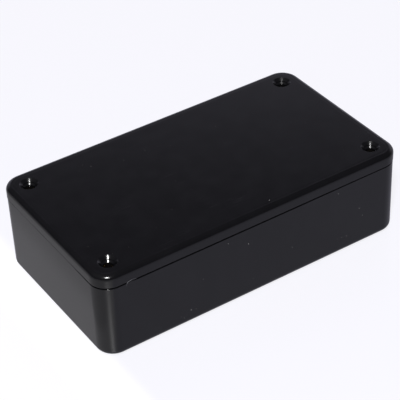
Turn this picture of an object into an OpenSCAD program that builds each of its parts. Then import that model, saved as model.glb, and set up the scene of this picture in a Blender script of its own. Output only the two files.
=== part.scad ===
// Two-part moulded project box with a lapped lid and countersunk corner screws

/* [Overall] */
// Outside length, along X
box_length = 112; // [90:1:160]
// Outside width, along Y
box_width = 62; // [54:1:100]
// Outside height with the lid on
box_height = 31; // [26:0.5:60]
// Plan radius of the lid's corners
corner_radius = 6.25; // [5:0.25:9]

/* [Base] */
// Thickness of the base's side walls
wall = 2; // [1.7:0.1:2.6]
// Thickness of the base's floor
floor_thickness = 2; // [1.2:0.1:4]
// How far each side leans in from the rim down to the underside
draft_inset = 0.06; // [0.02:0.02:1]
// Rounding around the underside
foot_round = 2.2; // [0.2:0.1:2.4]
// Rounding inside, between the floor and the walls
floor_fillet = 1; // [0.3:0.1:1.5]
// Rounding of the base's outer rim at the seam
rim_round = 0.15; // [0.1:0.05:0.4]

/* [Lid] */
// Thickness of the lid's top
lid_plate = 2; // [1.4:0.1:3]
// Depth of the lid's side band, from its top to the seam
lid_depth = 4.3; // [3.3:0.05:7]
// Rounding around the lid's top edge
lid_round = 1.8; // [0.5:0.1:2.6]
// Rounding of the lid's lower edge at the seam
lid_lower_round = 0.2; // [0.1:0.05:0.4]
// Thickness of the lid's side band
skirt_wall = 1.1; // [0.8:0.05:1.3]
// How far the lid stands out past the base on each side
lid_overhang = 0.1; // [0:0.02:0.6]

/* [Lap joint] */
// Height of the open line between lid and base
seam_gap = 0.5; // [0.1:0.05:1]
// Sideways clearance between the base's tongue and the lid's band
lap_clearance = 0.1; // [0.05:0.05:0.3]

/* [Screw holes] */
// Distance of each screw's axis from both outer edges of the lid
screw_inset = 7.1; // [6.6:0.1:12]
// Radius of the countersink at the lid's face
countersink_radius = 3.05; // [2.4:0.05:3.4]
// Radius of the short step half way down the countersink
countersink_step_radius = 2.15; // [1.9:0.05:2.3]
// Height of that step
countersink_step = 0.3; // [0.1:0.05:0.5]
// Radius of the hole that the screw's shank passes through
shank_radius = 1.6; // [1.3:0.05:1.8]

/* [Screw pillars] */
// Radius of the pillars and of the lid's bosses
pillar_radius = 3.8; // [3.4:0.1:4.2]
// Height of the lid's bosses under its top
boss_height = 2; // [0.6:0.1:4]
// Depth of each pillar's bore below its mouth
bore_depth = 12; // [8:0.5:18]
// Radius of that bore below the insert
bore_radius = 1.6; // [1.3:0.05:1.8]

/* [Brass inserts] */
// Outside radius of the inserts and of the bores that hold them
insert_radius = 2.1; // [1.9:0.05:2.5]
// Length of the inserts
insert_length = 5.7; // [3:0.1:7]
// Radius of the thread in the inserts
thread_radius = 1.25; // [1:0.05:1.5]
// How far the inserts sit below the pillars' tops
insert_recess = 0.3; // [0.1:0.1:1]
// Chamfer at the mouth of the thread
thread_chamfer = 0.3; // [0.1:0.05:0.5]
// Width of each of the two grooves around an insert
groove_width = 0.8; // [0.4:0.1:0.9]
// Depth of those grooves
groove_depth = 0.3; // [0.1:0.05:0.4]

/* [Board guides] */
// Number of board slots along each long wall
long_guides = 5; // [1:1:6]
// Distance between slots along a long wall
long_guide_pitch = 16; // [9:0.5:17]
// Number of board slots along each short wall
short_guides = 2; // [1:1:3]
// Distance between slots along a short wall
short_guide_pitch = 20; // [9:0.5:22]
// Width of a board slot
slot_width = 1.9; // [1.6:0.1:2.4]
// Thickness of each guide rib
rib_width = 1; // [0.8:0.1:1.4]
// How far the ribs stand out from the wall at the rim
rib_depth = 1.4; // [1:0.1:2]
// Distance from the rim down to the top of the ribs
rib_drop = 3; // [1:0.5:10]

/* [Hidden] */
$fn = 96;
eps = 0.01;

// Heights
lid_under_z = box_height - lid_plate;
lid_lower_z = box_height - lid_depth;
rim_z = lid_lower_z - seam_gap;
boss_z = lid_under_z - boss_height;
insert_top_z = boss_z - insert_recess;
insert_z = insert_top_z - insert_length;
rib_top_z = rim_z - rib_drop;

// Plan sizes, as distances from the centre of each corner's arc
arc_x = box_length / 2 - corner_radius;
arc_y = box_width / 2 - corner_radius;
lid_inner_r = corner_radius - skirt_wall;
tongue_r = lid_inner_r - lap_clearance;
base_r = corner_radius - lid_overhang;
cavity_r = base_r - wall;

// Screw places
screw_x = box_length / 2 - screw_inset;
screw_y = box_width / 2 - screw_inset;

// Draft of the base's sides
draft_angle = atan(draft_inset / rim_z);
function lean(z) = draft_inset * (1 - z / rim_z);

// Countersink depths: two 45 degree cones with a short step between them
step_top = countersink_radius - countersink_step_radius;
step_bottom = step_top + countersink_step;
cone_bottom = step_bottom + countersink_step_radius - shank_radius;

// Upper right quarter of a disc, centred on the origin
module quarter_disc(r) {
    intersection() {
        circle(r = r);
        square(r);
    }
}

// Sweeps the profile in its children around the box's plan. The profile's x is the distance
// from the corner arcs' centres and its y is the height, from low to high.
module sweep_plan(low, high) {
    translate([-arc_x, -arc_y, low])
        cube([2 * arc_x, 2 * arc_y, high - low]);
    for (side = [0, 1]) {
        rotate([0, 0, 180 * side])
            translate([-arc_x, arc_y, 0])
                rotate([90, 0, 90])
                    linear_extrude(2 * arc_x)
                        children();
        rotate([0, 0, 180 * side])
            translate([arc_x, arc_y, 0])
                rotate([90, 0, 0])
                    linear_extrude(2 * arc_y)
                        children();
        rotate([0, 0, 180 * side])
            translate([arc_x, arc_y, 0])
                rotate_extrude(angle = 90)
                    children();
        rotate([0, 0, 180 * side])
            translate([-arc_x, arc_y, 0])
                rotate([0, 0, 90])
                    rotate_extrude(angle = 90)
                        children();
    }
}

// Half section with a drafted side and a rounded foot, from low up to the rim
module drafted_section(top_r, low, round_r) {
    foot_r = top_r - lean(low + round_r) - round_r / cos(draft_angle);
    side_x = foot_r + round_r * cos(draft_angle);
    side_z = low + round_r - round_r * sin(draft_angle);
    polygon([[0, low], [foot_r, low], [side_x, side_z], [top_r, rim_z], [0, rim_z]]);
    translate([foot_r, low + round_r])
        circle(r = round_r);
}

// Outside of the base, with its rim rounded and the tongue above it
module base_section() {
    difference() {
        drafted_section(base_r, 0, foot_round);
        translate([base_r - rim_round, rim_z - rim_round])
            difference() {
                square(2 * rim_round);
                circle(r = rim_round);
            }
    }
    translate([0, rim_z - wall])
        square([tongue_r, lid_under_z - rim_z + wall]);
}

// Inside of the base
module cavity_section() {
    drafted_section(cavity_r, floor_thickness, floor_fillet);
    translate([0, rim_z - eps])
        square([cavity_r, lid_under_z - rim_z + 2 * eps]);
}

// Outside of the lid, with its top and lower edges rounded
module lid_section() {
    translate([0, lid_lower_z + lid_lower_round])
        square([corner_radius, lid_depth - lid_lower_round - lid_round]);
    translate([0, lid_lower_z])
        square([corner_radius - lid_round, lid_depth]);
    translate([0, lid_lower_z])
        square([corner_radius - lid_lower_round, lid_depth - lid_round]);
    translate([corner_radius - lid_round, box_height - lid_round])
        quarter_disc(lid_round);
    translate([corner_radius - lid_lower_round, lid_lower_z + lid_lower_round])
        mirror([0, 1])
            quarter_disc(lid_lower_round);
}

// Inside of the lid's band, up to the underside of its top
module lid_hollow_section() {
    translate([0, lid_lower_z - eps])
        square([lid_inner_r, lid_under_z - lid_lower_z + eps]);
}

// Places its children at each of the four screws
module at_screws() {
    for (x = [-screw_x, screw_x])
        for (y = [-screw_y, screw_y])
            translate([x, y, 0])
                children();
}

// A pillar that fills the corner behind it, rounded towards the middle of the box
module corner_pillar() {
    translate([screw_x, screw_y, 0])
        linear_extrude(boss_z) {
            rotate(180)
                quarter_disc(pillar_radius);
            translate([-pillar_radius, 0])
                square([pillar_radius + screw_inset, screw_inset]);
            translate([0, -pillar_radius])
                square([screw_inset, pillar_radius]);
        }
}

// Bore of a pillar: the insert's seat and the clearance under it
module pillar_bore() {
    translate([0, 0, insert_z])
        cylinder(r = insert_radius, h = boss_z - insert_z + eps);
    translate([0, 0, boss_z - bore_depth])
        cylinder(r = bore_radius, h = bore_depth);
}

// Two ribs with a board slot between them, on the wall at the given distance
module board_guide(wall_distance) {
    for (side = [-1, 1])
        translate([side * (slot_width + rib_width) / 2 - rib_width / 2, wall_distance - rib_depth, 0])
            cube([rib_width, rib_depth + wall, rib_top_z]);
}

// All the guides along one pair of facing walls
module guide_row(count, pitch, wall_distance) {
    for (turn = [0, 180])
        rotate([0, 0, turn])
            for (i = [0:count - 1])
                translate([(i - (count - 1) / 2) * pitch, 0, 0])
                    board_guide(wall_distance);
}

module base() {
    color("#232326")
        difference() {
            sweep_plan(0, lid_under_z)
                base_section();
            difference() {
                sweep_plan(floor_thickness, lid_under_z + eps)
                    cavity_section();
                for (flip_x = [0, 1])
                    for (flip_y = [0, 1])
                        mirror([flip_x, 0, 0])
                            mirror([0, flip_y, 0])
                                corner_pillar();
                guide_row(long_guides, long_guide_pitch, arc_y + cavity_r);
                rotate([0, 0, 90])
                    guide_row(short_guides, short_guide_pitch, arc_x + cavity_r);
            }
            at_screws()
                pillar_bore();
        }
}

// Space of a countersunk screw: two 45 degree cones with a step between, then the shank
module screw_hole() {
    translate([0, 0, box_height])
        rotate_extrude()
            polygon([
                [0, eps],
                [countersink_radius + eps, eps],
                [countersink_step_radius, -step_top],
                [countersink_step_radius, -step_bottom],
                [shank_radius, -cone_bottom],
                [shank_radius, -lid_plate - boss_height - eps],
                [0, -lid_plate - boss_height - eps]
            ]);
}

module lid() {
    color("#2a2a2d")
        difference() {
            union() {
                difference() {
                    sweep_plan(lid_lower_z, box_height)
                        lid_section();
                    sweep_plan(lid_lower_z - eps, lid_under_z)
                        lid_hollow_section();
                }
                at_screws()
                    translate([0, 0, boss_z])
                        cylinder(r = pillar_radius, h = boss_height + lid_plate / 2);
            }
            at_screws()
                screw_hole();
        }
}

// A threaded insert with a chamfered mouth and two grooves that lock it in its pillar
module brass_insert(x, y) {
    color("#b08d4c")
        translate([x, y, insert_z])
            difference() {
                cylinder(r = insert_radius, h = insert_length);
                translate([0, 0, -eps])
                    cylinder(r = thread_radius, h = insert_length + 2 * eps);
                translate([0, 0, insert_length - thread_chamfer])
                    cylinder(r1 = thread_radius, r2 = thread_radius + thread_chamfer + eps,
                             h = thread_chamfer + eps);
                for (place = [1, 2])
                    translate([0, 0, insert_length * place / 3 - groove_width / 2])
                        rotate_extrude()
                            translate([insert_radius - groove_depth, 0])
                                square([groove_depth + eps, groove_width]);
            }
}

module insert_front_left() {
    brass_insert(-screw_x, -screw_y);
}

module insert_front_right() {
    brass_insert(screw_x, -screw_y);
}

module insert_back_left() {
    brass_insert(-screw_x, screw_y);
}

module insert_back_right() {
    brass_insert(screw_x, screw_y);
}

base();
lid();
insert_front_left();
insert_front_right();
insert_back_left();
insert_back_right();
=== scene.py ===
"""Looks of a moulded plastic project box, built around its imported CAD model."""

import math
import random

import bmesh
import bpy
from bpy.props import FloatProperty, FloatVectorProperty, IntProperty, PointerProperty
from mathutils import Matrix, Vector


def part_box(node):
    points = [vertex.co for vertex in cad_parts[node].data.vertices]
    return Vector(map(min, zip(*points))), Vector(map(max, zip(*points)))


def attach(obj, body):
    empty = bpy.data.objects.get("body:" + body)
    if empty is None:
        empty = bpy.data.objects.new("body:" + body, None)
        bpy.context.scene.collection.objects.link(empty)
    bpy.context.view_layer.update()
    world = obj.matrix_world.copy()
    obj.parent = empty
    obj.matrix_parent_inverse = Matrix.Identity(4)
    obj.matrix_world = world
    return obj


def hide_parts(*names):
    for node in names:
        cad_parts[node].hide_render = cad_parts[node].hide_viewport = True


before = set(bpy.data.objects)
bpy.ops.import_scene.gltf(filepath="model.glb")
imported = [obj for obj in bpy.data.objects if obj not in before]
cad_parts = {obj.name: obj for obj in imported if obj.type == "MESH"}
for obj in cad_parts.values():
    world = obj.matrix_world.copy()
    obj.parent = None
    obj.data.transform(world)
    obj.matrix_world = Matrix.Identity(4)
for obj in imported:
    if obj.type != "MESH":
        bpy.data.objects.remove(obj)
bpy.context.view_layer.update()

bl_info = {
    "name": "Moulded Project Box",
    "version": (1, 0, 0),
    "blender": (4, 5, 0),
    "location": "View3D > Sidebar > Project Box",
    "description": "Dresses the two halves of a black moulded project box and its brass inserts",
    "category": "Add Mesh",
}

MM = 0.001
BODY = "root"
INSERTS = ("insert_front_left", "insert_front_right", "insert_back_left", "insert_back_right")

LID_LOW, LID_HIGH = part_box("lid")
BASE_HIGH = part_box("base")[1]
INSERT_LOW, INSERT_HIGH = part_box("insert_back_right")
SCREW = (INSERT_LOW + INSERT_HIGH) / 2
# Point that the camera looks at
AIM = Vector((0.413, 2.381, 15.5)) * MM
# Directions in which the room shines: the backdrop's middle and the palest part of the ceiling
BACKDROP_SIDE, CEILING_SIDE = (0.62, 0.78, 0), (-0.4, 0, 0.917)
# Sines of the elevations between which the backdrop fades out
BACKDROP_FADE = (0.428, 0.612)
# Painted pool of light left of the box: the board changes its shade between these places on X, close by
# and further out
BOARD_POOL_NEAR, BOARD_POOL_FAR = (-58 * MM, -51 * MM), (-71 * MM, -63 * MM)
# Glow of the board in the camera's view
BOARD_GLOW = 0.7
# How strongly the bloom left by handling shows on each half
LID_BLOOM, BASE_BLOOM = 0.006, 0.012


def linear(hex_colour):
    """Linear RGBA of an sRGB colour written as six hex digits."""
    parts = [int(hex_colour[i:i + 2], 16) / 255 for i in (0, 2, 4)]
    return tuple(c / 12.92 if c <= 0.04045 else ((c + 0.055) / 1.055) ** 2.4 for c in parts) + (1,)


# Scuff at the seam near the front left corner: its course over the lid's lower edge
SCUFF = [Vector((x * MM, LID_LOW.y, z * MM)) for x, z in (
    (-45.4, 26.45), (-47.3, 25.55), (-47.2, 25.95), (-47.0, 26.35), (-46.65, 26.7), (-46.25, 26.87),
    (-45.75, 26.95), (-45.2, 27), (-44.7, 26.99), (-44.2, 26.88), (-43.8, 26.67), (-43.5, 26.5))]

# Larger specks of dust: side of the box, two distances along it in millimetres, size
SPECKS = (
    ("front", -3.8, 20.7, 1.6), ("front", -11.2, 24.2, 1.2), ("front", 39.4, 14.8, 1.1),
    ("front", 40.8, 11.3, 1.1), ("front", 34.6, 5.9, 1.2), ("front", 32.5, 6.1, 0.9),
    ("front", -20.5, 14.9, 1.2), ("front", -25.5, 5.2, 1.3), ("front", -29.2, 4.3, 0.8),
    ("front", 30.8, 24.4, 1.0), ("front", 12.8, 11.4, 1.0), ("front", -1.1, 12.5, 0.8),
    ("front", -2.3, 6.1, 0.9), ("front", -23.7, 4.7, 0.8), ("front", -28.1, 3.3, 1.0),
    ("front", 30.9, 6.4, 0.7), ("front", 10.2, 4.9, 0.7), ("front", -6.8, 14.5, 0.6),
    ("left", -2.6, 10.0, 1.1), ("top", -28.5, 20.3, 1.1), ("top", -10.0, 17.5, 1.0),
    ("top", 15.8, 15.4, 0.9), ("top", 6.3, -28.0, 0.8), ("top", -2.0, 15.0, 0.6))


# ---------------------------------------------------------------- sizes and colours

def length_property(name, description, millimetres):
    """Property for a length, with its default in millimetres."""
    return FloatProperty(name=name, description=description, default=millimetres * MM, unit="LENGTH")


def colour_property(name, description, hex_colour):
    """Property for a colour, with its default as six sRGB hex digits."""
    return FloatVectorProperty(name=name, description=description, default=linear(hex_colour)[:3],
                               subtype="COLOR", min=0, max=1)


def count_property(name, description, default, least):
    """Property for a whole number with a least value."""
    return IntProperty(name=name, description=description, default=default, min=least)


def share_property(name, description, default):
    """Property for a number between 0 and 1."""
    return FloatProperty(name=name, description=description, default=default, min=0, max=1)


def angle_property(name, description, degrees):
    """Property for an angle, with its default in degrees."""
    return FloatProperty(name=name, description=description, default=math.radians(degrees),
                         subtype="ANGLE")


class BoxSizes(bpy.types.PropertyGroup):
    """Sizes of the two mouldings that their boxes in the frame don't give"""
    corner_radius: length_property("Corner radius", "Plan radius of the lid's corners", 6.25)
    wall: length_property("Wall", "Thickness of the base's side walls", 2)
    floor_thickness: length_property("Floor", "Thickness of the base's floor", 2)
    draft_inset: length_property(
        "Draft", "How far each side of the base leans in towards its foot", 0.06)
    foot_round: length_property("Foot rounding", "Rounding around the underside", 2.2)
    floor_fillet: length_property("Floor fillet", "Rounding inside, between the floor and the walls", 1)
    rim_round: length_property("Rim rounding", "Rounding of the base's outer rim at the seam", 0.12)
    rim_rise_back: length_property(
        "Rim rise at the back", "How far the seam closes towards the back", 0.08)
    rim_rise_left: length_property(
        "Rim rise on the left", "How far the seam closes along the left end", 0.32)
    rim_rise_right: length_property(
        "Rim rise on the right", "How far the seam closes towards the right end", 0.15)
    lid_depth: length_property("Lid depth", "Depth of the lid's side band", 4.3)
    lid_round: length_property("Lid rounding", "Rounding around the lid's top edge", 1.8)
    lid_lower_round: length_property(
        "Lid lower rounding", "Rounding of the lid's edge at the seam", 0.2)
    sink_depth: length_property(
        "Sink", "Depth of the faint valley where the lid's top sank over its band", 0.012)
    sink_middle: length_property(
        "Sink distance", "Distance of that valley's middle from the lid's edge", 2.05)
    sink_reach: length_property("Sink reach", "Half the width of that valley", 0.75)
    skirt_wall: length_property("Band thickness", "Thickness of the lid's side band", 1.1)
    seam_gap: length_property("Seam", "Height of the open line between lid and base", 0.5)
    lap_clearance: length_property(
        "Lap clearance", "Gap between the base's tongue and the lid's band", 0.1)
    corner_steps: count_property("Corner steps", "Faces around each vertical corner", 24, 4)
    round_steps: count_property("Rounding steps", "Faces across each rounded edge", 12, 2)
    straight_step: length_property("Straight step", "Length of the faces along the straight sides", 2)
    pillar_radius: length_property(
        "Pillar radius", "Radius of the screw pillars and of the lid's bosses", 3.8)
    rib_width: length_property("Rib width", "Thickness of each guide rib", 1)
    rib_depth: length_property("Rib depth", "How far the guide ribs stand out from the wall", 1.4)
    rib_drop: length_property("Rib drop", "Distance from the rim down to the top of the ribs", 3)
    slot_width: length_property("Board slot", "Width of a board slot", 1.9)
    long_guides: count_property("Long wall slots", "Board slots along each long wall", 5, 1)
    long_guide_pitch: length_property("Long wall pitch", "Distance between slots along a long wall", 16)
    short_guides: count_property("Short wall slots", "Board slots along each short wall", 2, 1)
    short_guide_pitch: length_property(
        "Short wall pitch", "Distance between slots along a short wall", 20)


class HoleSizes(bpy.types.PropertyGroup):
    """Sizes of the lid's screw holes, the pillars' bores and the brass inserts"""
    countersink_radius: length_property(
        "Countersink", "Radius of the countersink at the lid's face", 3.05)
    step_radius: length_property(
        "Step radius", "Radius of the short step half way down the countersink", 2.15)
    step_height: length_property("Step height", "Height of that step", 0.3)
    shank_radius: length_property("Shank hole", "Radius of the hole under the countersink", 1.6)
    mouth_round: length_property("Mouth rounding", "Rounding of the countersink's mouth", 0.15)
    bore_depth: length_property("Bore depth", "Depth of each pillar's bore below its mouth", 12)
    bore_radius: length_property("Bore radius", "Radius of that bore below the insert", 1.6)
    turned_steps: count_property("Turned steps", "Faces around each hole", 96, 12)
    thread_pitch: length_property("Thread pitch", "Rise of the inserts' thread in one turn", 0.5)
    thread_radius: length_property(
        "Thread radius", "Radius of the thread's crests inside the inserts", 1.25)
    thread_height: length_property("Thread height", "Depth of the thread from crest to root", 0.25)
    thread_chamfer: length_property("Thread chamfer", "Lead-in at the top of the thread", 0.3)
    groove_width: length_property(
        "Groove width", "Width of each of the two grooves around an insert", 0.8)
    groove_depth: length_property("Groove depth", "Depth of those grooves", 0.3)
    knurl_depth: length_property("Knurl depth", "Depth of the knurling around an insert", 0.12)
    knurl_teeth: count_property("Knurl teeth", "Ridges in the knurling around an insert", 24, 6)


class Finish(bpy.types.PropertyGroup):
    """Colours and gloss of the plastic, the brass and the wear"""
    lid_colour: colour_property("Lid", "Colour of the lid's plastic", "0d0d0f")
    base_colour: colour_property("Base", "Colour of the base's plastic", "101012")
    lid_roughness: share_property("Lid roughness", "Roughness of the lid's face", 0.16)
    base_roughness: share_property("Base roughness", "Roughness of the base's walls", 0.085)
    bloom_colour: colour_property(
        "Bloom", "Colour of the thin dull film that handling leaves", "6e6e76")
    brass_colour: colour_property("Brass", "Colour of the inserts", "c9a24e")
    scuff_colour: colour_property(
        "Whitened plastic", "Colour of plastic that was bent until it whitened", "68686e")
    dust_colour: colour_property("Dust", "Colour of the specks of dust", "d2d0ce")


class WearSizes(bpy.types.PropertyGroup):
    """Sizes of the scuff at the seam and of the dust"""
    scuff_width: length_property("Scuff width", "Width of the raised sliver at the seam", 0.24)
    scuff_rise: length_property(
        "Scuff rise", "How far that sliver stands out from the lid's band", 0.12)
    speck_size: length_property("Speck size", "Length of a speck of size 1", 0.3)
    speck_count: count_property("Fine specks", "Fine specks of dust strewn over the box", 150, 0)
    seed: IntProperty(
        name="Seed", description="Another number strews the fine specks in another way", default=11)


# ---------------------------------------------------------------- meshes

def arc_points(centre, radius, start, end, steps):
    """Points along an arc in a section, as (distance, height), between two angles in degrees."""
    points = []
    for step in range(steps + 1):
        angle = math.radians(start + (end - start) * step / steps)
        points.append((centre[0] + radius * math.cos(angle), centre[1] + radius * math.sin(angle)))
    return points


def plan_loop(sizes, distance, height):
    """Points around the box's plan, at one distance from the centres of the corner arcs."""
    arc_x = LID_HIGH.x - sizes.corner_radius
    arc_y = LID_HIGH.y - sizes.corner_radius
    corners = ((arc_x, arc_y), (-arc_x, arc_y), (-arc_x, -arc_y), (arc_x, -arc_y))
    points = []
    for turn, (x, y) in enumerate(corners):
        quarter = 90 * turn
        points += arc_points((x, y), distance, quarter, quarter + 90, sizes.corner_steps)
        length = 2 * (arc_x, arc_y)[turn % 2]
        steps = round(length / sizes.straight_step)
        along = Vector((-math.sin(math.radians(quarter + 90)), math.cos(math.radians(quarter + 90))))
        start = Vector(points[-1])
        points += [tuple(start + along * length * step / steps) for step in range(1, steps)]
    return [Vector((x, y, height)) for x, y in points]


def bridged(name, loops, closed):
    """Mesh object of equal loops joined by faces. A closed one joins its ends, an open one is capped."""
    mesh = bmesh.new()
    rings = [[mesh.verts.new(point) for point in loop] for loop in loops]
    pairs = list(zip(rings, rings[1:]))
    if closed:
        pairs.append((rings[-1], rings[0]))
    else:
        mesh.faces.new(rings[0])
        mesh.faces.new(rings[-1])
    for low, high in pairs:
        for i in range(len(low)):
            j = (i + 1) % len(low)
            mesh.faces.new((low[i], low[j], high[j], high[i]))
    bmesh.ops.recalc_face_normals(mesh, faces=mesh.faces)
    return object_from(name, mesh)


def add_object(name, data):
    """New object in the scene for a mesh, a camera or a lamp."""
    made = bpy.data.objects.new(name, data)
    bpy.context.scene.collection.objects.link(made)
    return made


def object_from(name, mesh):
    """New object in the scene that holds a finished bmesh."""
    data = bpy.data.meshes.new(name)
    mesh.to_mesh(data)
    mesh.free()
    return add_object(name, data)


def turned(name, profile, steps):
    """Solid of revolution about Z from (radius, height) points that run from axis to axis."""
    loops = []
    for radius, height in profile:
        radius = max(radius, 0.001 * MM)
        ring = [2 * math.pi * i / steps for i in range(steps)]
        loops.append([Vector((radius * math.cos(a), radius * math.sin(a), height)) for a in ring])
    return bridged(name, loops, closed=False)


def box_mesh(mesh, low, high):
    """Adds a block between two corners to a bmesh."""
    middle = (low + high) / 2
    size = high - low
    place = Matrix.Translation(middle) @ Matrix.Diagonal((*size, 1))
    bmesh.ops.create_cube(mesh, size=1, matrix=place)


def baked(thing, name, sharp_degrees=32):
    """Turns an object and its modifiers into a plain smooth-shaded mesh and removes the object."""
    depsgraph = bpy.context.evaluated_depsgraph_get()
    data = bpy.data.meshes.new_from_object(thing.evaluated_get(depsgraph), depsgraph=depsgraph)
    bpy.data.objects.remove(thing)
    data.name = name
    made = add_object(name, data)
    data.shade_smooth()
    data.set_sharp_from_angle(angle=math.radians(sharp_degrees))
    normals = made.modifiers.new("even_normals", "WEIGHTED_NORMAL")
    normals.keep_sharp = True
    normals.weight = 100
    return made


# ---------------------------------------------------------------- node trees

def add_node(tree, kind, settings=None, **links):
    """Adds a node, sets its attributes and its inputs. An input is a value or another node's socket."""
    node = tree.nodes.new(kind)
    for name, value in (settings or {}).items():
        setattr(node, name, value)
    for name, value in links.items():
        key = int(name[1:]) if name[0] == "i" and name[1:].isdigit() else name.replace("_", " ")
        socket = node.inputs[key]
        if isinstance(value, (list, tuple)) and value and isinstance(value[0], bpy.types.NodeSocket):
            for each in value:
                tree.links.new(each, socket)
        elif isinstance(value, bpy.types.NodeSocket):
            tree.links.new(value, socket)
        else:
            socket.default_value = value
    return node


def maths(tree, operation, *values):
    """Socket of a sum on one to three values or sockets."""
    return add_node(tree, "ShaderNodeMath", {"operation": operation},
                    **{f"i{place}": value for place, value in enumerate(values)}).outputs[0]


def mixed(tree, amount, first, second):
    """Socket of a colour between two others."""
    return add_node(tree, "ShaderNodeMix", {"data_type": "RGBA"},
                    i0=amount, i6=first, i7=second).outputs[2]


def noise(tree, place, grain, detail, **settings):
    """Socket of a noise pattern. Its coarsest grains are about as long as grain."""
    return add_node(tree, "ShaderNodeTexNoise", Vector=place, Scale=1 / grain, Detail=detail,
                    **settings).outputs["Fac"]


def remap(tree, value, low, high, to_low, to_high):
    """Socket of a value moved from one range to another, and held inside it."""
    return add_node(tree, "ShaderNodeMapRange", Value=value, From_Min=low, From_Max=high,
                    To_Min=to_low, To_Max=to_high).outputs[0]


def smoothed(tree, value, low, high, to_low=0, to_high=1):
    """The same with a smooth start and end."""
    return add_node(tree, "ShaderNodeMapRange", {"interpolation_type": "SMOOTHSTEP"}, Value=value,
                    From_Min=low, From_Max=high, To_Min=to_low, To_Max=to_high).outputs[0]


def tree_inputs(tree, **kinds):
    """Adds an input named after each key to a geometry tree, and gives their identifiers."""
    return {key: tree.interface.new_socket(name=key.replace("_", " ").title(), in_out="INPUT",
                                           socket_type="NodeSocket" + kind).identifier
            for key, kind in kinds.items()}


def geometry_tree(name):
    """Empty geometry tree with its geometry input and output."""
    tree = bpy.data.node_groups.new(name, "GeometryNodeTree")
    tree.interface.new_socket(name="Geometry", in_out="INPUT", socket_type="NodeSocketGeometry")
    tree.interface.new_socket(name="Geometry", in_out="OUTPUT", socket_type="NodeSocketGeometry")
    return tree


def close_tree(tree, group, last):
    """Sets the material on a geometry tree's last node and joins it to the output."""
    finished = add_node(tree, "GeometryNodeSetMaterial", Geometry=last.outputs[0],
                        Material=group.outputs["Material"])
    add_node(tree, "NodeGroupOutput", i0=finished.outputs[0])


def modify(thing, tree, keys, **values):
    """Puts a geometry tree on an object and sets its inputs."""
    modifier = thing.modifiers.new(tree.name, "NODES")
    modifier.node_group = tree
    for key, value in values.items():
        modifier[keys[key]] = value


def screw_corners(tree, group):
    """The four screw places, and the quarter turn that each corner's copy takes."""
    places = add_node(tree, "GeometryNodeMeshGrid", i0=group.outputs["Pitch X"],
                      i1=group.outputs["Pitch Y"], i2=2, i3=2)
    position = add_node(tree, "GeometryNodeInputPosition").outputs[0]
    axes = add_node(tree, "ShaderNodeSeparateXYZ", Vector=position)
    signs = [maths(tree, "SIGN", axes.outputs[axis]) for axis in ("Y", "X")]
    angle = maths(tree, "ARCTAN2", signs[0], signs[1])
    quarter = maths(tree, "SUBTRACT", angle, math.pi / 4)
    turn = add_node(tree, "ShaderNodeCombineXYZ", Z=quarter)
    return places.outputs["Mesh"], turn.outputs[0]


def screw_places_tree():
    """Joins a boss to a shell at each of the four screws and cuts a hole through it."""
    tree = geometry_tree("screw_places")
    keys = tree_inputs(tree, pitch_x="Float", pitch_y="Float", boss="Object", hole="Object",
                       material="Material")
    group = add_node(tree, "NodeGroupInput")
    places, turn = screw_corners(tree, group)
    solids = []
    for tool in ("Boss", "Hole"):
        source = add_node(tree, "GeometryNodeObjectInfo", Object=group.outputs[tool])
        copies = add_node(tree, "GeometryNodeInstanceOnPoints", Points=places,
                          Instance=source.outputs["Geometry"], Rotation=turn)
        solids.append(add_node(tree, "GeometryNodeRealizeInstances", Geometry=copies.outputs[0]))
    joined = add_node(tree, "GeometryNodeMeshBoolean", {"operation": "UNION", "solver": "EXACT"},
                      i1=[group.outputs["Geometry"], solids[0].outputs[0]])
    cut = add_node(tree, "GeometryNodeMeshBoolean", {"operation": "DIFFERENCE", "solver": "EXACT"},
                   i0=joined.outputs[0], i1=solids[1].outputs[0])
    close_tree(tree, group, cut)
    return tree, keys


def board_guides_tree():
    """Joins rows of board guides to the insides of a base's four walls."""
    tree = geometry_tree("board_guides")
    keys = tree_inputs(tree, guide="Object", long_wall_count="Int", long_wall_pitch="Float",
                       long_wall_distance="Float", short_wall_count="Int", short_wall_pitch="Float",
                       short_wall_distance="Float", material="Material")
    group = add_node(tree, "NodeGroupInput")
    guide = add_node(tree, "GeometryNodeObjectInfo", Object=group.outputs["Guide"])
    rows = []
    for wall, turns in (("Long Wall", (0, 180)), ("Short Wall", (90, 270))):
        count = group.outputs[wall + " Count"]
        pitch = group.outputs[wall + " Pitch"]
        gaps = maths(tree, "SUBTRACT", count, 1.0)
        length = maths(tree, "MULTIPLY", gaps, pitch)
        start = maths(tree, "MULTIPLY", length, -0.5)
        first = add_node(tree, "ShaderNodeCombineXYZ", X=start,
                         Y=group.outputs[wall + " Distance"])
        step = add_node(tree, "ShaderNodeCombineXYZ", X=pitch)
        line = add_node(tree, "GeometryNodeMeshLine", {"mode": "OFFSET"}, Count=count,
                        Start_Location=first.outputs[0], Offset=step.outputs[0])
        copies = add_node(tree, "GeometryNodeInstanceOnPoints", Points=line.outputs[0],
                          Instance=guide.outputs["Geometry"])
        real = add_node(tree, "GeometryNodeRealizeInstances", Geometry=copies.outputs[0])
        for turn in turns:
            turned_row = add_node(tree, "GeometryNodeTransform", Geometry=real.outputs[0],
                                  Rotation=(0, 0, math.radians(turn)))
            rows.append(turned_row.outputs[0])
    joined = add_node(tree, "GeometryNodeMeshBoolean", {"operation": "UNION", "solver": "EXACT"},
                      i1=[group.outputs["Geometry"], *rows])
    close_tree(tree, group, joined)
    return tree, keys


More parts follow.
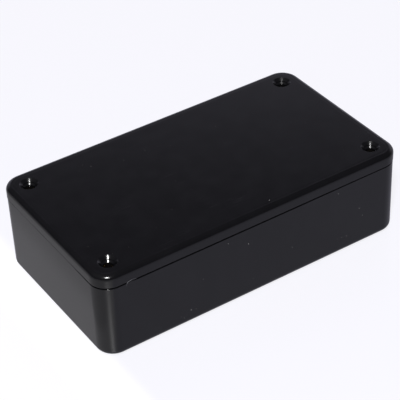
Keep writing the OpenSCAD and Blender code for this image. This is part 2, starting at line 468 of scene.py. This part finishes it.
def inserts_tree():
    """Puts one insert at each of the four screw places."""
    tree = geometry_tree("screw_inserts")
    keys = tree_inputs(tree, pitch_x="Float", pitch_y="Float", material="Material")
    group = add_node(tree, "NodeGroupInput")
    places, turn = screw_corners(tree, group)
    copies = add_node(tree, "GeometryNodeInstanceOnPoints", Points=places,
                      Instance=group.outputs["Geometry"], Rotation=turn)
    real = add_node(tree, "GeometryNodeRealizeInstances", Geometry=copies.outputs[0])
    close_tree(tree, group, real)
    return tree, keys


def specks_tree():
    """Puts a speck of dust on every point, each in its own size and turned at random."""
    tree = geometry_tree("specks")
    keys = tree_inputs(tree, speck="Object", length="Float", seed="Int", material="Material")
    group = add_node(tree, "NodeGroupInput")
    source = add_node(tree, "GeometryNodeObjectInfo", Object=group.outputs["Speck"])
    size = add_node(tree, "GeometryNodeInputNamedAttribute", {"data_type": "FLOAT"}, Name="size")
    scale = maths(tree, "MULTIPLY", size.outputs[0], group.outputs["Length"])
    turn = add_node(tree, "FunctionNodeRandomValue", {"data_type": "FLOAT_VECTOR"},
                    i0=(0, 0, 0), i1=(2 * math.pi,) * 3, Seed=group.outputs["Seed"])
    copies = add_node(tree, "GeometryNodeInstanceOnPoints", Points=group.outputs["Geometry"],
                      Instance=source.outputs["Geometry"], Rotation=turn.outputs[0], Scale=scale)
    real = add_node(tree, "GeometryNodeRealizeInstances", Geometry=copies.outputs[0])
    close_tree(tree, group, real)
    return tree, keys


# ---------------------------------------------------------------- materials

def new_material(name):
    """New node material: its tree and its principled shader."""
    made = bpy.data.materials.new(name)
    made.use_nodes = True
    return made, made.node_tree, made.node_tree.nodes["Principled BSDF"]


def moulded_abs(name, colour, roughness, bloom_colour, bloom):
    """ABS moulded in a polished tool: near black and clearly glossy.

    The tool's polish leaves a fine orange peel, and cooling leaves long shallow waves. Handling
    leaves hairline scratches and a thin cloudy bloom, which dulls the gloss a little.
    """
    made, tree, shader = new_material(name)
    place = add_node(tree, "ShaderNodeTexCoord").outputs["Object"]

    # Bloom: clouds about 7 mm across that run down the walls, broken up at 1.5 mm
    tall = add_node(tree, "ShaderNodeMapping", Vector=place, Scale=(1, 1, 0.45))
    clouds = noise(tree, tall.outputs[0], 7 * MM, 4, Roughness=0.55)
    cloudy = remap(tree, clouds, 0.42, 0.72, 0, bloom)
    # Hairlines: streaks about 0.15 mm wide and 12 mm long, most of them hidden by a patchy mask
    slanted = add_node(tree, "ShaderNodeMapping", Vector=place, Rotation=(0.3, 0.5, 0.6),
                       Scale=(1 / (12 * MM), 1 / (0.15 * MM), 1 / (12 * MM)))
    streaks = noise(tree, slanted.outputs[0], 1, 1)
    patches = noise(tree, place, 16 * MM, 1)
    hairlines = maths(tree, "MULTIPLY", remap(tree, streaks, 0.66, 0.74, 0, 1),
                      remap(tree, patches, 0.5, 0.65, 0, 1))

    film = maths(tree, "MULTIPLY_ADD", hairlines, 0.01, cloudy)
    tint = mixed(tree, film, (*colour, 1), (*bloom_colour, 1))
    tree.links.new(tint, shader.inputs["Base Color"])

    # Gloss: the same clouds dull it, and hairlines more so
    dull = remap(tree, clouds, 0.3, 0.75, roughness - 0.015, roughness + 0.03)
    gloss = maths(tree, "MULTIPLY_ADD", hairlines, 0.12, dull)
    tree.links.new(gloss, shader.inputs["Roughness"])

    # Waves 14 mm long and 0.008 mm deep, then orange peel of 0.5 mm and 0.0006 mm deep
    waves = noise(tree, place, 14 * MM, 0)
    wavy = add_node(tree, "ShaderNodeBump", Height=waves, Strength=1, Distance=0.008 * MM)
    peel = noise(tree, place, 0.5 * MM, 1)
    peeled = add_node(tree, "ShaderNodeBump", Height=peel, Strength=1,
                      Distance=0.0006 * MM, Normal=wavy.outputs[0])
    tree.links.new(peeled.outputs[0], shader.inputs["Normal"])
    shader.inputs["IOR"].default_value = 1.54
    return made


def turned_brass(name, colour):
    """Brass turned on a lathe: bright yellow metal, with fine rings from the tool and dull patches."""
    made, tree, shader = new_material(name)
    place = add_node(tree, "ShaderNodeTexCoord").outputs["Object"]
    # Tarnish: patches about 2 mm across
    tarnish = noise(tree, place, 2 * MM, 3)
    tint = mixed(tree, remap(tree, tarnish, 0.45, 0.75, 0, 0.6), (*colour, 1),
                 linear("8a6a34"))
    tree.links.new(tint, shader.inputs["Base Color"])
    tree.links.new(remap(tree, tarnish, 0.3, 0.8, 0.22, 0.4), shader.inputs["Roughness"])
    # Rings left by the tool, one every 0.1 mm
    rings = add_node(tree, "ShaderNodeTexWave", {"wave_type": "BANDS", "bands_direction": "Z"},
                     Vector=place, Scale=1 / (20 * 0.1 * MM), Distortion=0.4)
    bump = add_node(tree, "ShaderNodeBump", Height=rings.outputs["Fac"], Strength=0.4,
                    Distance=0.004 * MM)
    tree.links.new(bump.outputs[0], shader.inputs["Normal"])
    shader.inputs["Metallic"].default_value = 1
    return made


def whitened_abs(name, colour, dark):
    """ABS bent until it whitened: a pale rough streak that fades into the black."""
    made, tree, shader = new_material(name)
    place = add_node(tree, "ShaderNodeTexCoord").outputs["Object"]
    grain = noise(tree, place, 0.3 * MM, 3)
    tint = mixed(tree, remap(tree, grain, 0.35, 0.6, 0.25, 1), (*dark, 1), (*colour, 1))
    tree.links.new(tint, shader.inputs["Base Color"])
    bump = add_node(tree, "ShaderNodeBump", Height=grain, Strength=1, Distance=0.03 * MM)
    tree.links.new(bump.outputs[0], shader.inputs["Normal"])
    shader.inputs["Roughness"].default_value = 0.45
    return made


def house_dust(name, colour):
    """House dust: dry grey lint without any gloss, paler and darker from speck to speck."""
    made, tree, shader = new_material(name)
    place = add_node(tree, "ShaderNodeTexCoord").outputs["Object"]
    varied = noise(tree, place, 3 * MM, 1)
    tint = mixed(tree, remap(tree, varied, 0.3, 0.7, 0, 1), (*(0.5 * c for c in colour), 1),
                 (*colour, 1))
    tree.links.new(tint, shader.inputs["Base Color"])
    shader.inputs["Roughness"].default_value = 0.9
    return made


# ---------------------------------------------------------------- pieces

def rim_height(sizes):
    """Height of the base's rim, at the lower side of the seam."""
    return LID_HIGH.z - sizes.lid_depth - sizes.seam_gap


def lid_outline(sizes):
    """Section of the lid's band, from the underside of its top round to its face."""
    top = LID_HIGH.z
    lower = top - sizes.lid_depth
    under = BASE_HIGH.z
    inner = sizes.corner_radius - sizes.skirt_wall
    small = sizes.lid_lower_round
    big = sizes.lid_round
    points = [(inner, under), (inner, lower)]
    points += arc_points((sizes.corner_radius - small, lower + small), small, -90, 0, 4)
    points += arc_points((sizes.corner_radius - big, top - big), big, 0, 90, sizes.round_steps)
    steps = 2 * sizes.round_steps
    for step in range(steps + 1):
        part = 2 * step / steps - 1
        from_edge = sizes.sink_middle + part * sizes.sink_reach
        if from_edge > big + 0.02 * MM:
            sunk = sizes.sink_depth * (0.5 + 0.5 * math.cos(math.pi * part))
            points.append((sizes.corner_radius - from_edge, top - sunk))
    return points


def base_outline(sizes):
    """Section of the base's wall, from its underside round to its floor inside."""
    rim = rim_height(sizes)
    tilt = math.degrees(math.atan(sizes.draft_inset / rim))
    outer = BASE_HIGH.x - (LID_HIGH.x - sizes.corner_radius)
    cavity = outer - sizes.wall
    tongue = sizes.corner_radius - sizes.skirt_wall - sizes.lap_clearance
    slope = sizes.draft_inset / rim

    def side(top, height, rounding):
        return top - slope * (rim - height) - rounding / math.cos(math.radians(tilt))

    foot = sizes.foot_round
    points = arc_points((side(outer, foot, foot), foot), foot, -90, -tilt, 6)
    edge = sizes.rim_round
    points += arc_points((outer - edge, rim - edge), edge, 0, 90, 4)
    points += [(tongue, rim), (tongue, BASE_HIGH.z), (cavity, BASE_HIGH.z), (cavity, rim)]
    fillet = sizes.floor_fillet
    level = sizes.floor_thickness + fillet
    points += arc_points((side(cavity, level, fillet), level), fillet, -tilt, -90, 6)
    return points


def smooth_step(value, low, high):
    """0 below low, 1 above high, and a smooth rise between them."""
    part = min(max((value - low) / (high - low), 0), 1)
    return part * part * (3 - 2 * part)


class BOX_OT_lid(bpy.types.Operator):
    """Makes the lid: its lapped band, bosses and countersunk holes"""
    bl_idname = "project_box.lid"
    bl_label = "Lid"

    def execute(self, context):
        sizes = context.scene.box_sizes
        holes = context.scene.hole_sizes
        finish = context.scene.box_finish
        material = moulded_abs("polished_black_abs_lid", finish.lid_colour, finish.lid_roughness,
                               finish.bloom_colour, LID_BLOOM)
        shell = bridged("lid_blank", [plan_loop(sizes, r, z) for r, z in lid_outline(sizes)],
                        closed=False)
        boss = turned("boss", [(0, LID_LOW.z), (sizes.pillar_radius, LID_LOW.z),
                               (sizes.pillar_radius, BASE_HIGH.z + 1 * MM), (0, BASE_HIGH.z + 1 * MM)],
                      holes.turned_steps)
        top = LID_HIGH.z
        first = holes.countersink_radius - holes.step_radius
        second = first + holes.step_height
        third = second + holes.step_radius - holes.shank_radius
        past = 1 * MM
        # The mouth's arc meets both the face and the 45 degree cone. It starts a hair above the face.
        tangent = holes.mouth_round * math.tan(math.radians(22.5))
        middle = (holes.countersink_radius + tangent, top - holes.mouth_round + 0.004 * MM)
        hole = turned("screw_hole", [
            (0, top + past), (middle[0], top + past),
            *arc_points(middle, holes.mouth_round, 90, 135, 5),
            (holes.step_radius, top - first), (holes.step_radius, top - second),
            (holes.shank_radius, top - third), (holes.shank_radius, LID_LOW.z - past),
            (0, LID_LOW.z - past)], holes.turned_steps)
        modify(shell, *screw_places_tree(), pitch_x=2 * SCREW.x, pitch_y=2 * SCREW.y,
               boss=boss, hole=hole, material=material)
        lid = baked(shell, "lid_moulding")
        bpy.data.objects.remove(boss)
        bpy.data.objects.remove(hole)
        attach(lid, BODY)
        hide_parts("lid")
        return {"FINISHED"}


class BOX_OT_base(bpy.types.Operator):
    """Makes the base: its drafted walls, tongue, pillars and board guides"""
    bl_idname = "project_box.base"
    bl_label = "Base"

    def execute(self, context):
        sizes = context.scene.box_sizes
        holes = context.scene.hole_sizes
        finish = context.scene.box_finish
        material = moulded_abs("polished_black_abs_base", finish.base_colour, finish.base_roughness,
                               finish.bloom_colour, BASE_BLOOM)
        shell = bridged("base_blank", [plan_loop(sizes, r, z) for r, z in base_outline(sizes)],
                        closed=False)
        self.close_seam(shell, sizes)
        guide = self.guide(sizes)
        cavity = BASE_HIGH - Vector((sizes.wall, sizes.wall, 0))
        modify(shell, *board_guides_tree(), guide=guide, material=material,
               long_wall_count=sizes.long_guides, long_wall_pitch=sizes.long_guide_pitch,
               long_wall_distance=cavity.y, short_wall_count=sizes.short_guides,
               short_wall_pitch=sizes.short_guide_pitch, short_wall_distance=cavity.x)
        bore = self.bore(holes)
        pillar = self.pillar(sizes)
        modify(shell, *screw_places_tree(), pitch_x=2 * SCREW.x, pitch_y=2 * SCREW.y,
               boss=pillar, hole=bore, material=material)
        base = baked(shell, "base_moulding")
        for tool in (guide, bore, pillar):
            bpy.data.objects.remove(tool)
        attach(base, BODY)
        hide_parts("base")
        return {"FINISHED"}

    def close_seam(self, shell, sizes):
        """Lifts the rim where the seam is narrower: at the back, at both ends and at the scuff."""
        rim = rim_height(sizes)
        for vertex in shell.data.vertices:
            x, y, z = vertex.co
            inward = -max(abs(x) - BASE_HIGH.x, abs(y) - BASE_HIGH.y)
            if abs(z - rim) > 2 * sizes.rim_round or inward > sizes.wall / 2:
                continue
            lift = sizes.rim_rise_back * smooth_step(y, -20 * MM, 20 * MM)
            on_front, on_left = smooth_step(-y, 0, 20 * MM), smooth_step(-x, 50 * MM, 55 * MM)
            lift += sizes.rim_rise_right * smooth_step(x, 10 * MM, 50 * MM) * on_front
            lift += sizes.rim_rise_left * on_left * smooth_step(y, -26 * MM, -12 * MM)
            if y < 0:
                lift += 0.8 * sizes.seam_gap * smooth_step(1.7 * MM - abs(x - SCUFF[0].x), 0, 1.6 * MM)
            vertex.co.z += lift

    def pillar(self, sizes):
        """Screw pillar that fills a corner, with a round front. It stands at its own screw place."""
        arc = LID_HIGH.x - sizes.corner_radius - SCREW.x
        wall_middle = (arc + BASE_HIGH.x - (LID_HIGH.x - sizes.corner_radius)
                       - sizes.wall / 2 - sizes.draft_inset / 2)
        points = arc_points((0, 0), sizes.pillar_radius, 180, 270, 24)
        points += [(wall_middle, -sizes.pillar_radius)]
        points += arc_points((arc, arc), wall_middle - arc, 0, 90, 8)
        points += [(-sizes.pillar_radius, wall_middle)]
        levels = (sizes.floor_thickness / 2, LID_LOW.z)
        return bridged("pillar", [[Vector((x, y, z)) for x, y in points] for z in levels], closed=False)

    def guide(self, sizes):
        """Two ribs with a board slot between them, standing on a wall at the origin."""
        rim = rim_height(sizes)
        mesh = bmesh.new()
        for side in (-1, 1):
            middle = side * (sizes.slot_width + sizes.rib_width) / 2
            half = sizes.rib_width / 2
            low = Vector((middle - half, -sizes.rib_depth, sizes.floor_thickness / 2))
            high = Vector((middle + half, sizes.wall / 2, rim - sizes.rib_drop))
            box_mesh(mesh, low, high)
        return object_from("board_guide", mesh)

    def bore(self, holes):
        """Space inside a pillar: the insert's seat and the clearance under it."""
        mouth = LID_LOW.z
        seat = (INSERT_HIGH.x - INSERT_LOW.x) / 2
        return turned("pillar_bore", [
            (0, mouth - holes.bore_depth), (holes.bore_radius, mouth - holes.bore_depth),
            (holes.bore_radius, INSERT_LOW.z), (seat, INSERT_LOW.z),
            (seat, mouth + 1 * MM), (0, mouth + 1 * MM)], holes.turned_steps)


class BOX_OT_inserts(bpy.types.Operator):
    """Makes the four threaded brass inserts in the pillars"""
    bl_idname = "project_box.inserts"
    bl_label = "Brass inserts"

    def execute(self, context):
        holes = context.scene.hole_sizes
        blank = bridged("insert_blank", self.loops(holes), closed=True)
        brass = turned_brass("turned_brass", context.scene.box_finish.brass_colour)
        modify(blank, *inserts_tree(), pitch_x=2 * SCREW.x, pitch_y=2 * SCREW.y, material=brass)
        inserts = baked(blank, "brass_inserts")
        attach(inserts, BODY)
        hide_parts(*INSERTS)
        return {"FINISHED"}

    def loops(self, holes):
        """Rings from the foot of the outside over the top and down the thread."""
        outer = (INSERT_HIGH.x - INSERT_LOW.x) / 2
        length = INSERT_HIGH.z - INSERT_LOW.z
        bevel = holes.knurl_depth
        edges = [0]
        for part in (1, 2):
            middle = length * part / 3
            edges += [middle - holes.groove_width / 2, middle + holes.groove_width / 2]
        edges.append(length)
        rows = []
        for low, high in zip(edges[::2], edges[1::2]):
            rows += [(low, outer - bevel, 0), (low + bevel, outer, 1), ((low + high) / 2, outer, 1),
                     (high - bevel, outer, 1), (high, outer - bevel, 0)]
            if high < length:
                rows += [(high, outer - holes.groove_depth, 0),
                         (high + holes.groove_width, outer - holes.groove_depth, 0)]
        steps = 4 * holes.knurl_teeth
        loops = [self.ring(steps, height, lambda angle, r=radius, k=knurled: r - k * bevel * (
            0.5 - 0.5 * math.cos(holes.knurl_teeth * angle))) for height, radius, knurled in rows]
        # Down the thread, in eight rows to a turn. The crests fade into the lead-in.
        count = round(8 * length / holes.thread_pitch)
        for row in range(count + 1):
            height = length * (1 - row / count)
            opened = max(holes.thread_radius + holes.thread_chamfer - (length - height), 0)

            def wall(angle, height=height, opened=opened):
                turn = (height / holes.thread_pitch - angle / (2 * math.pi)) % 1
                flank = max(0, 1 - abs(2 * turn - 1) * 1.25)
                return max(holes.thread_radius + holes.thread_height * (1 - flank), opened)
            loops.append(self.ring(steps, height, wall))
        return loops

    def ring(self, steps, height, radius):
        """Points around the insert at one height. The radius is a function of the angle."""
        angles = [2 * math.pi * i / steps for i in range(steps)]
        return [Vector((radius(a) * math.cos(a), radius(a) * math.sin(a), INSERT_LOW.z + height))
                for a in angles]


class BOX_OT_wear(bpy.types.Operator):
    """Makes the whitened scuff at the seam and the specks of dust"""
    bl_idname = "project_box.wear"
    bl_label = "Wear and dust"

    def execute(self, context):
        wear = context.scene.wear_sizes
        finish = context.scene.box_finish
        self.scuff(wear, finish)
        self.dust(context, wear, finish)
        return {"FINISHED"}

    def scuff(self, wear, finish):
        """Curled sliver along the lid's lower edge, thick in the middle and thin at both ends."""
        course = SCUFF[1:]
        loops = []
        for i, point in enumerate(course):
            part = i / (len(course) - 1)
            swell = max(math.sin(math.pi * part) ** 0.6, 0.12)
            before, after = course[max(i - 1, 0)], course[min(i + 1, len(course) - 1)]
            along = (after - before).normalized()
            across = along.cross(Vector((0, -1, 0)))
            wide = wear.scuff_width * swell / 2
            tall = wear.scuff_rise * swell
            ring = []
            for step in range(12):
                angle = 2 * math.pi * step / 12
                raised = Vector((0, -tall * math.sin(angle), 0))
                ring.append(point + across * wide * math.cos(angle) + raised)
            loops.append(ring)
        blank = bridged("scuff_blank", loops, closed=False)
        blank.data.materials.append(whitened_abs("whitened_abs", finish.scuff_colour, finish.lid_colour))
        smooth = blank.modifiers.new("smooth", "SUBSURF")
        smooth.levels = smooth.render_levels = 1
        scuff = baked(blank, "seam_scuff")
        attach(scuff, BODY)

    def dust(self, context, wear, finish):
        """Specks at chosen places and fine ones strewn over the top and the walls."""
        points, sizes = [], []
        for side, along, across, size in SPECKS:
            points.append(self.on_box(context, side, along * MM, across * MM))
            sizes.append(size)
        strewn = random.Random(wear.seed)
        for _ in range(wear.speck_count):
            side = strewn.choice(("front", "left", "back", "right", "top", "top", "top"))
            reach = LID_HIGH.x if side in ("front", "back", "top") else LID_HIGH.y
            along = strewn.uniform(-1, 1) * (reach - 6 * MM)
            if side == "top":
                across = strewn.uniform(-1, 1) * (LID_HIGH.y - 6 * MM)
            else:
                across = strewn.uniform(2, 25) * MM
            points.append(self.on_box(context, side, along, across))
            sizes.append(strewn.uniform(0.2, 0.45))
        data = bpy.data.meshes.new("dust_places")
        data.from_pydata(points, [], [])
        attribute = data.attributes.new("size", "FLOAT", "POINT")
        attribute.data.foreach_set("value", sizes)
        places = add_object("dust_places", data)
        speck = self.speck()
        modify(places, *specks_tree(), speck=speck, length=wear.speck_size, seed=wear.seed,
               material=house_dust("house_dust", finish.dust_colour))
        dust = baked(places, "dust_specks")
        bpy.data.objects.remove(speck)
        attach(dust, BODY)

    def speck(self):
        """Small crumb of dust, one unit long, with few faces."""
        mesh = bmesh.new()
        bmesh.ops.create_icosphere(mesh, subdivisions=1, radius=0.5)
        shape = random.Random(3)
        for vertex in mesh.verts:
            vertex.co *= shape.uniform(0.7, 1)
            vertex.co.y *= 0.6
            vertex.co.z *= 0.45
        return object_from("speck", mesh)

    def on_box(self, context, side, along, across):
        """Point on a side of the box. The walls of the base lean in towards the foot."""
        sizes = context.scene.box_sizes
        rim = rim_height(sizes)
        lean = sizes.draft_inset * (1 - across / rim)
        x, y = BASE_HIGH.x - lean, BASE_HIGH.y - lean
        places = {"top": (along, across, LID_HIGH.z),
                  "front": (along, -y, across), "back": (along, y, across),
                  "left": (-x, along, across), "right": (x, along, across)}
        return Vector(places[side])


class StageSettings(bpy.types.PropertyGroup):
    """Light and camera of the studio around the box"""
    azimuth: angle_property("Camera azimuth", "0 looks along +Y", -32.177)
    elevation: angle_property("Camera elevation", "Above the floor", 36.762)
    roll: angle_property("Camera roll", "Turn about its own axis", -2.651)
    distance: length_property("Camera distance", "From the aim point", 493.068)
    lens: FloatProperty(
        name="Lens", description="Focal length in millimetres", default=137.27)
    lamp_azimuth: angle_property("Lamp azimuth", "Side that the compact lamp shines from", -35)
    lamp_elevation: angle_property("Lamp elevation", "Height of the compact lamp above the floor", 50)
    lamp_distance: length_property("Lamp distance", "From the box's front left corner", 1600)
    lamp_size: length_property("Lamp size", "Diameter of its disc", 360)
    lamp_power: FloatProperty(name="Lamp power", description="In watts", default=22)
    room: FloatVectorProperty(
        name="Room", description="Dim light that the room sends from all sides",
        default=(0.067, 0.064, 0.078), subtype="COLOR")
    backdrop: FloatVectorProperty(
        name="Backdrop", description="Light of the low backdrop behind the box, on the right",
        default=(0.49, 0.48, 0.57), subtype="COLOR")
    ceiling: FloatProperty(
        name="Ceiling", description="Light that the ceiling adds to the room's", default=0.08)
    board_colour: colour_property("Board", "Colour of the board under the box", "a09fae")
    # Painted light: the colour of the board inside its painted pool of light, to the left of the box
    board_lit_colour: colour_property(
        "Board on the left", "Its colour to the left of the box", "a09fa3")
    board_roughness: share_property("Board roughness", "Roughness of the board", 0.27)
    board_in_mirror: FloatProperty(
        name="Board in reflections", description="Glow that the board has in the box's reflections",
        default=0.08, min=0)


def heading(azimuth, elevation):
    """Unit vector from the object towards something seen at that azimuth and elevation."""
    return Vector((math.sin(azimuth) * math.cos(elevation),
                   -math.cos(azimuth) * math.cos(elevation), math.sin(elevation)))


class BOX_OT_stage(bpy.types.Operator):
    """Makes the floor, the room's light, the lamp and the camera"""
    bl_idname = "project_box.stage"
    bl_label = "Stage"

    def execute(self, context):
        stage = context.scene.stage_settings
        self.camera(context, stage)
        bpy.ops.mesh.primitive_plane_add(size=4)
        floor = context.object
        floor.name = "floor"
        # A hair under the box, so that the two faces don't flicker
        floor.data.transform(Matrix.Translation((0, 0, -0.03 * MM)))
        floor.data.materials.append(self.floor_material(stage))
        context.scene.world = self.world(stage)
        self.lamp(context, stage)
        context.scene.view_settings.view_transform = "Standard"
        return {"FINISHED"}

    def camera(self, context, stage):
        """Camera aimed at the middle of the box, a little behind its centre."""
        data = bpy.data.cameras.new("camera")
        data.sensor_width = 36
        data.lens = stage.lens
        camera = add_object("camera", data)
        context.scene.camera = camera
        back = heading(stage.azimuth, stage.elevation)
        right = Vector((math.cos(stage.azimuth), math.sin(stage.azimuth), 0))
        up = back.cross(right)
        cosine, sine = math.cos(stage.roll), math.sin(stage.roll)
        axes = (cosine * right + sine * up, cosine * up - sine * right, back)
        matrix = Matrix(axes).transposed().to_4x4()
        matrix.translation = AIM + back * stage.distance
        camera.matrix_world = matrix

    def floor_material(self, stage):
        """Pale satin board. The camera sees it white, with the box's shadow on it.

        A little of that glow is in its reflections too, so that the plastic shows the board pale
        right out to the horizon.
        """
        made, tree, shader = new_material("pale_satin_board")
        place = add_node(tree, "ShaderNodeTexCoord").outputs["Object"]
        # Painted pool of light: the board is paler to the left of the box and palest along its left end,
        # where it also takes its lit colour
        x = add_node(tree, "ShaderNodeSeparateXYZ", Vector=place).outputs["X"]
        left = smoothed(tree, x, *BOARD_POOL_NEAR, 1.2, 1)
        near = smoothed(tree, x, *BOARD_POOL_FAR, 0, 0.4)
        lit_strip = smoothed(tree, x, *BOARD_POOL_NEAR, 1, 0)
        paler = maths(tree, "MULTIPLY_ADD", near, lit_strip, left)
        shade = mixed(tree, lit_strip, (*stage.board_colour, 1), (*stage.board_lit_colour, 1))
        tint = add_node(tree, "ShaderNodeVectorMath", {"operation": "SCALE"}, i0=shade, Scale=paler)
        tree.links.new(tint.outputs[0], shader.inputs["Base Color"])
        shader.inputs["Roughness"].default_value = stage.board_roughness
        shader.inputs["IOR"].default_value = 1.6
        seen = add_node(tree, "ShaderNodeLightPath")
        mirrored = maths(tree, "MAXIMUM", seen.outputs["Is Glossy Ray"],
                         seen.outputs["Is Transmission Ray"])
        pale = maths(tree, "MULTIPLY", mirrored, stage.board_in_mirror)
        amount = maths(tree, "MULTIPLY_ADD", seen.outputs["Is Camera Ray"], BOARD_GLOW, pale)
        glow = add_node(tree, "ShaderNodeEmission", Color=(1, 1, 1, 1), Strength=amount)
        both = add_node(tree, "ShaderNodeAddShader", i0=shader.outputs[0], i1=glow.outputs[0])
        tree.links.new(both.outputs[0], tree.nodes["Material Output"].inputs["Surface"])
        return made

    def world(self, stage):
        """Dim room, with a low backdrop that fades upwards. The camera sees it white."""
        world = bpy.data.worlds.new("studio")
        world.use_nodes = True
        tree = world.node_tree
        room = tree.nodes["Background"]
        place = add_node(tree, "ShaderNodeTexCoord")
        axes = add_node(tree, "ShaderNodeSeparateXYZ", Vector=place.outputs["Generated"])
        fade = smoothed(tree, axes.outputs["Z"], *BACKDROP_FADE, 1, 0)
        towards = add_node(tree, "ShaderNodeVectorMath", {"operation": "DOT_PRODUCT"},
                           i0=place.outputs["Generated"], i1=BACKDROP_SIDE)
        side = smoothed(tree, towards.outputs["Value"], 0.35, 0.87)
        amount = maths(tree, "MULTIPLY", fade, side)
        colour = mixed(tree, amount, (*stage.room, 1), (*stage.backdrop, 1))
        # The ceiling is paler than the walls, most of all to the left
        ceiling = add_node(tree, "ShaderNodeVectorMath", {"operation": "DOT_PRODUCT"},
                           i0=place.outputs["Generated"], i1=CEILING_SIDE)
        pale = smoothed(tree, ceiling.outputs["Value"], 0.5, 1, 0, stage.ceiling)
        lit = add_node(tree, "ShaderNodeVectorMath", {"operation": "ADD"}, i0=colour, i1=pale)
        tree.links.new(lit.outputs[0], room.inputs["Color"])
        white = add_node(tree, "ShaderNodeBackground", Color=(1, 1, 1, 1), Strength=1)
        seen = add_node(tree, "ShaderNodeLightPath")
        choice = add_node(tree, "ShaderNodeMixShader", Fac=seen.outputs["Is Camera Ray"],
                          i1=room.outputs[0], i2=white.outputs[0])
        tree.links.new(choice.outputs[0], tree.nodes["World Output"].inputs["Surface"])
        return world

    def lamp(self, context, stage):
        """Compact round lamp above the camera's side."""
        data = bpy.data.lights.new("lamp", "AREA")
        data.shape = "DISK"
        data.size = stage.lamp_size
        data.energy = stage.lamp_power
        lamp = add_object("lamp", data)
        direction = heading(stage.lamp_azimuth, stage.lamp_elevation)
        lamp.location = Vector((LID_LOW.x, LID_LOW.y, LID_HIGH.z)) + direction * stage.lamp_distance
        lamp.rotation_mode = "QUATERNION"
        lamp.rotation_quaternion = direction.to_track_quat("Z", "Y")


class BOX_PT_panel(bpy.types.Panel):
    """Lists the pieces of the box, their sizes and colours, and the stage"""
    bl_idname = "BOX_PT_panel"
    bl_label = "Project box"
    bl_space_type = "VIEW_3D"
    bl_region_type = "UI"
    bl_category = "Project Box"

    def draw(self, context):
        layout = self.layout
        for each in PIECES:
            layout.operator(each.bl_idname)
        for name, label in GROUPS.items():
            box = layout.box()
            box.label(text=label)
            group = getattr(context.scene, name)
            for key in group.bl_rna.properties.keys():
                if key not in ("rna_type", "name"):
                    box.prop(group, key)


PIECES = (BOX_OT_stage, BOX_OT_base, BOX_OT_lid, BOX_OT_inserts, BOX_OT_wear)
GROUPS = {
    "box_sizes": "Mouldings", "hole_sizes": "Screw holes and inserts", "box_finish": "Finish",
    "wear_sizes": "Wear", "stage_settings": "Stage"}
GROUP_TYPES = (BoxSizes, HoleSizes, Finish, WearSizes, StageSettings)
CLASSES = (*GROUP_TYPES, *PIECES, BOX_PT_panel)


def register():
    for each in CLASSES:
        bpy.utils.register_class(each)
    for name, kind in zip(GROUPS, GROUP_TYPES):
        setattr(bpy.types.Scene, name, PointerProperty(type=kind))


def unregister():
    for name in GROUPS:
        delattr(bpy.types.Scene, name)
    for each in reversed(CLASSES):
        bpy.utils.unregister_class(each)


def main():
    register()
    bpy.ops.project_box.stage()
    bpy.ops.project_box.base()
    bpy.ops.project_box.lid()
    bpy.ops.project_box.inserts()
    bpy.ops.project_box.wear()


if __name__ == "__main__":
    main()
